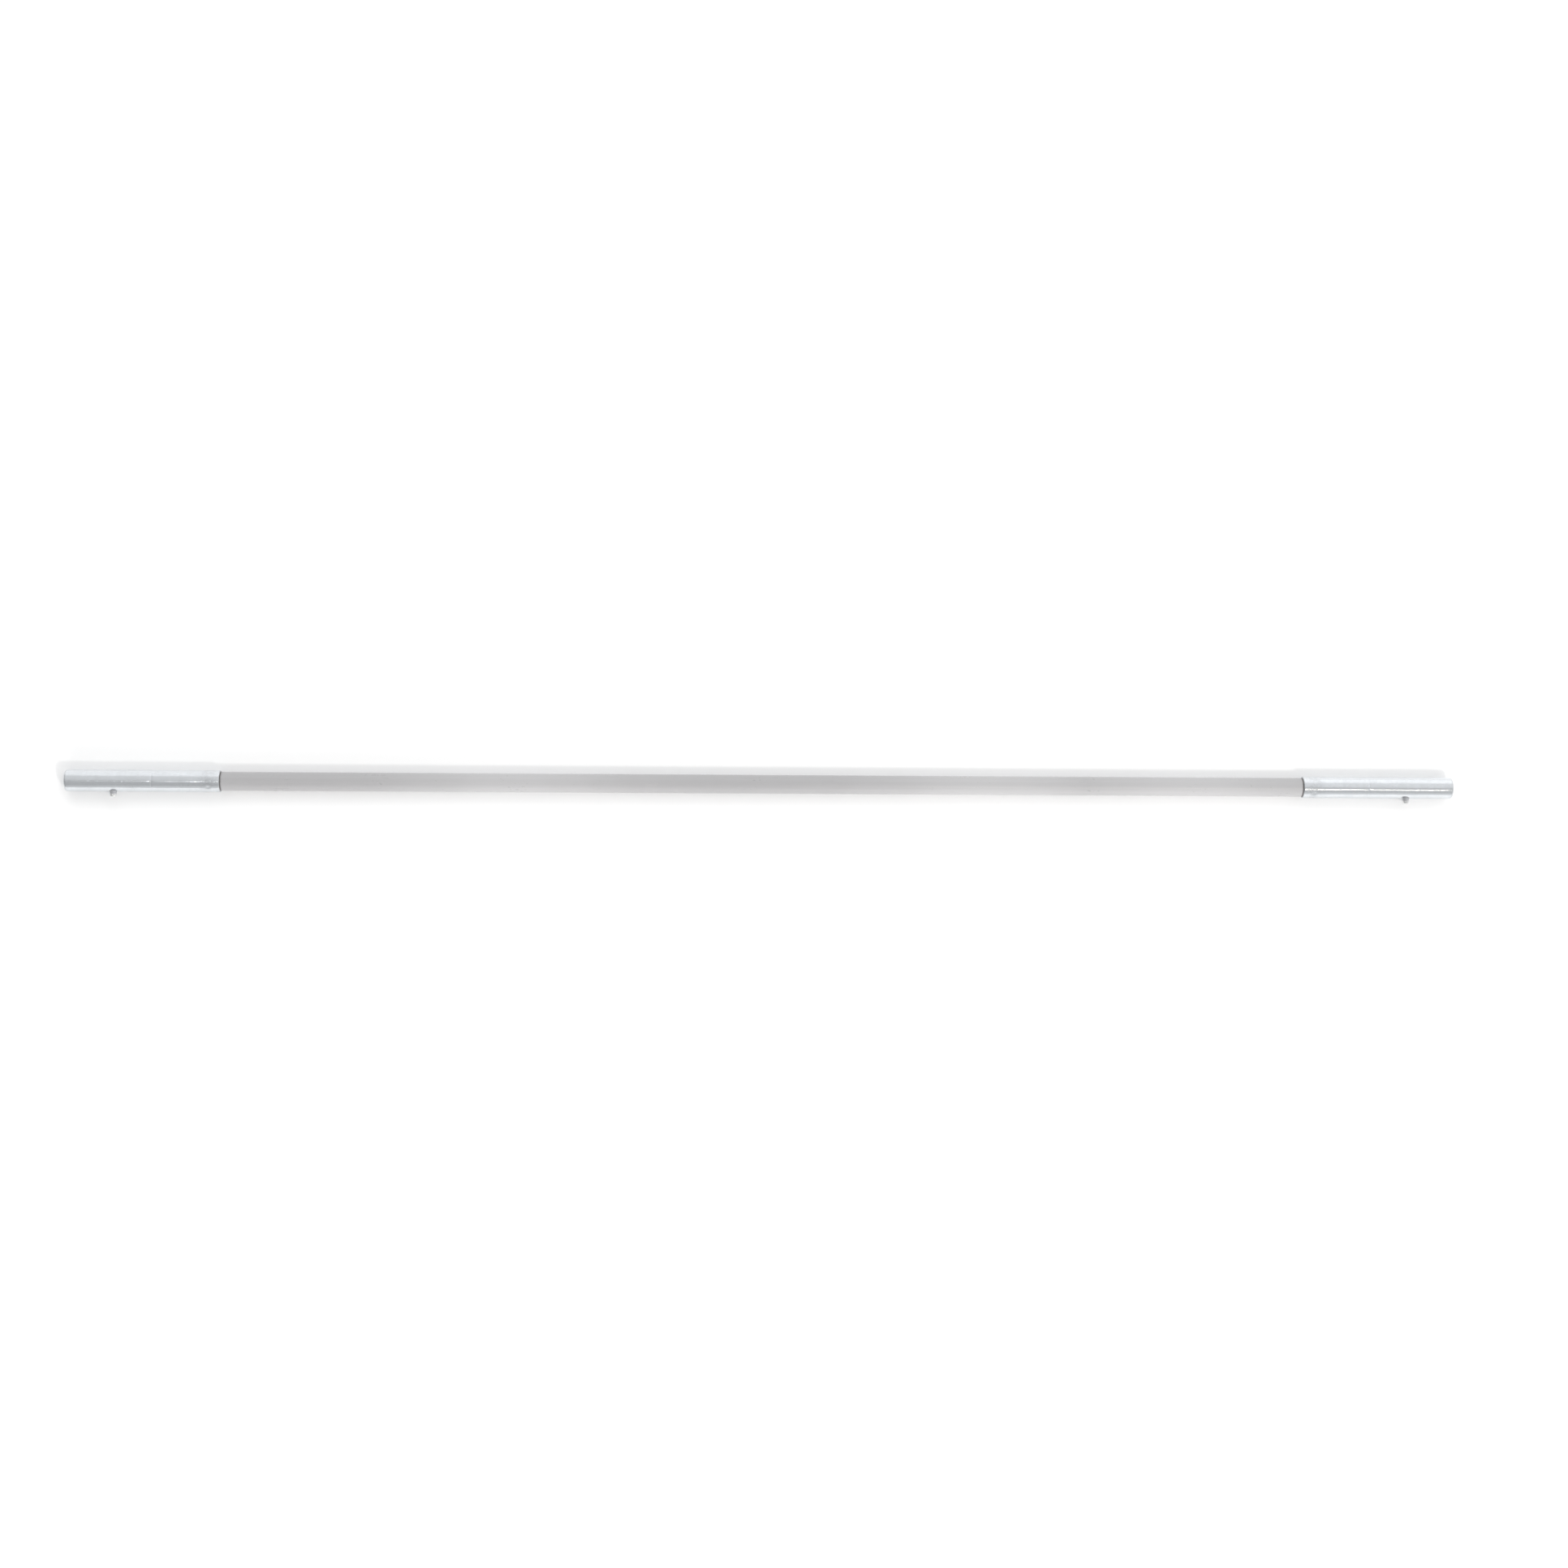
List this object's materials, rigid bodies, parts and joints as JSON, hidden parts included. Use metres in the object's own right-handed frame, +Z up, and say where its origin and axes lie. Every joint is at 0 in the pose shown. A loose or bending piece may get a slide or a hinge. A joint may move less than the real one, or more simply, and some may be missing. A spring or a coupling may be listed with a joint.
{
  "type": "probe pole section",
  "caption": "Straight rigid probe pole section: a slim grey tube with a plated steel spigot on each end, each with a sprung snap button.",
  "frame": {"origin": "on the pole's axis, halfway between the ends of its two ferrules", "axes": "+X along the pole towards the right-hand ferrule, both snap buttons point along -Y, +Z up as the pole lies"},
  "size_m": [1, 0.0204, 0.0156],
  "materials": {
    "shaft_coat": "satin",
    "zinc_plate": "gloss",
    "button_plate": "gloss",
    "spring_steel": "satin",
    "plug_nylon": "matte"
  },
  "bodies": {
    "pole": {"shaft": "shaft_coat", "left_ferrule": "zinc_plate", "right_ferrule": "zinc_plate", "left_spring_clip": "spring_steel", "right_spring_clip": "spring_steel", "left_end_plug": "plug_nylon", "right_end_plug": "plug_nylon"},
    "left_catch": {"left_button": "button_plate"},
    "right_catch": {"right_button": "button_plate"}
  },
  "joints": [
    {"name": "left_button_press", "type": "slide", "parent": "pole", "child": "left_catch", "axis": [0, 1, 0], "range_m": [0, 0.0048], "stiffness_N_per_m": 2000, "springref_m": -0.002, "deforming": ["left_spring_clip"]},
    {"name": "right_button_press", "type": "slide", "parent": "pole", "child": "right_catch", "axis": [0, 1, 0], "range_m": [0, 0.0048], "stiffness_N_per_m": 2000, "springref_m": -0.002, "deforming": ["right_spring_clip"]}
  ]
}
